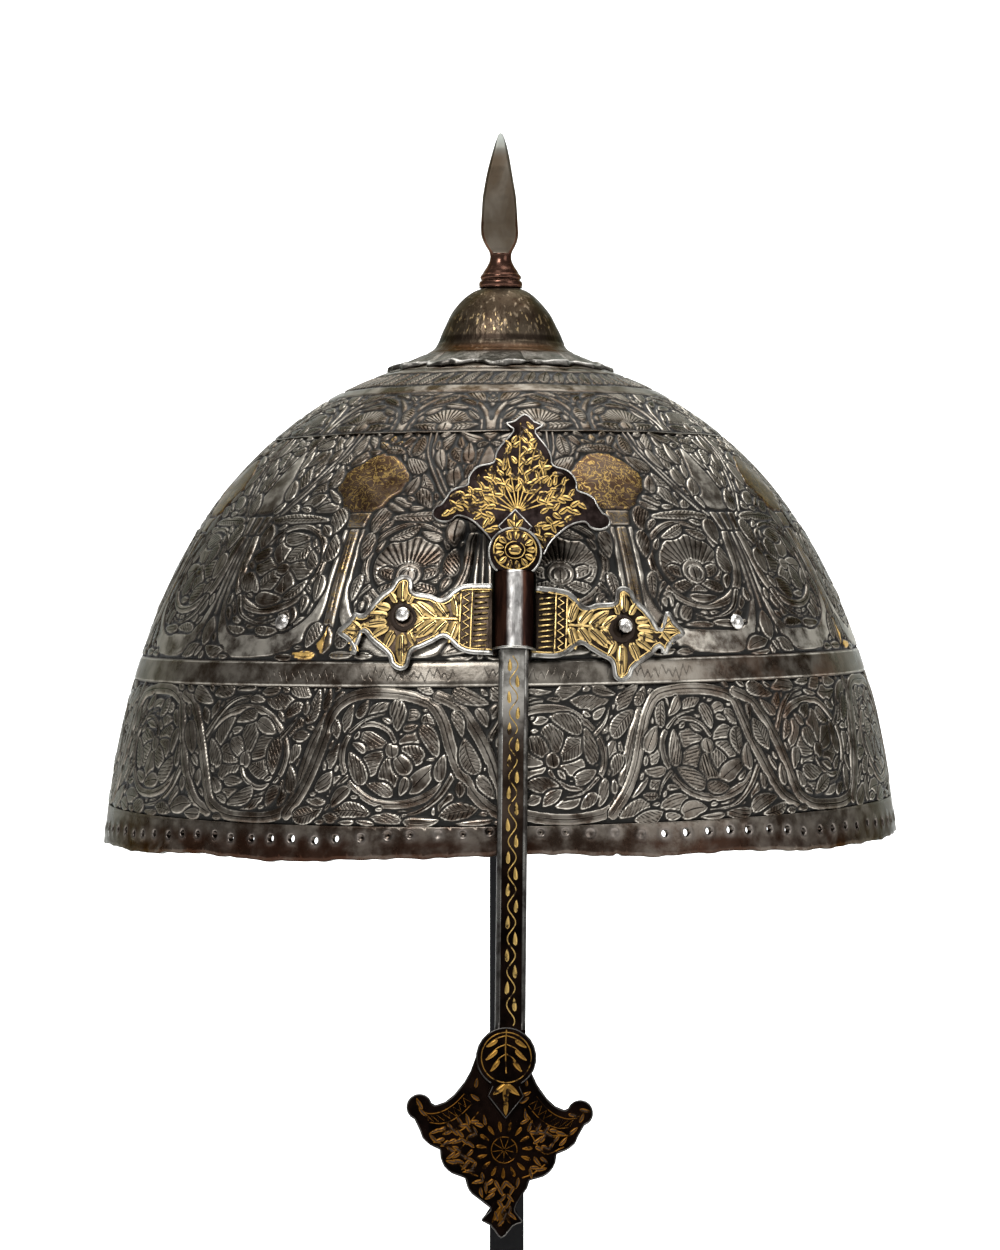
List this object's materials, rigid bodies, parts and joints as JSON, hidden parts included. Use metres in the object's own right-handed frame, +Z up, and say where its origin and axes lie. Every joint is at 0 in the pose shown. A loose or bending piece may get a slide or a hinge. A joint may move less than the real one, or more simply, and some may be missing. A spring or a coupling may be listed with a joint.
{
  "type": "kulah khud helmet on a display stand",
  "caption": "Domed steel helmet with a turned spike and a sliding nose guard held in a winged guide, carried by a plain post stand with a square foot.",
  "frame": {"origin": "centre of the underside of the stand's foot plate", "axes": "+Z up along the post, the helmet's front with its nose guard faces -Y, +X is the viewer's right"},
  "size_m": [0.2117, 0.2342, 0.3384],
  "materials": {
    "bowl_steel": "chiselled and worn, brown in the hollows",
    "cap_steel": "browned, hatched",
    "spike_steel": "polished, browned at the neck",
    "gilded_steel": "gold inlay with dark engraved lines",
    "rivet_steel": "worn bright",
    "nasal_steel": "blackened, inlaid with gold scrolls",
    "black_paint": "satin"
  },
  "bodies": {
    "root": {"skull": "bowl_steel", "finial_cap": "cap_steel", "spike": "spike_steel", "nasal_bracket": "gilded_steel", "bracket_rivet_left": "rivet_steel", "bracket_rivet_right": "rivet_steel", "side_rivet_left": "rivet_steel", "side_rivet_right": "rivet_steel", "stand": "black_paint"},
    "nose_guard": {"nasal": "nasal_steel"}
  },
  "joints": [
    {"name": "nasal_slide", "type": "slide", "parent": "root", "child": "nose_guard", "axis": [0.0103, 0.2169, 0.9761], "range_m": [0, 0.085]}
  ]
}
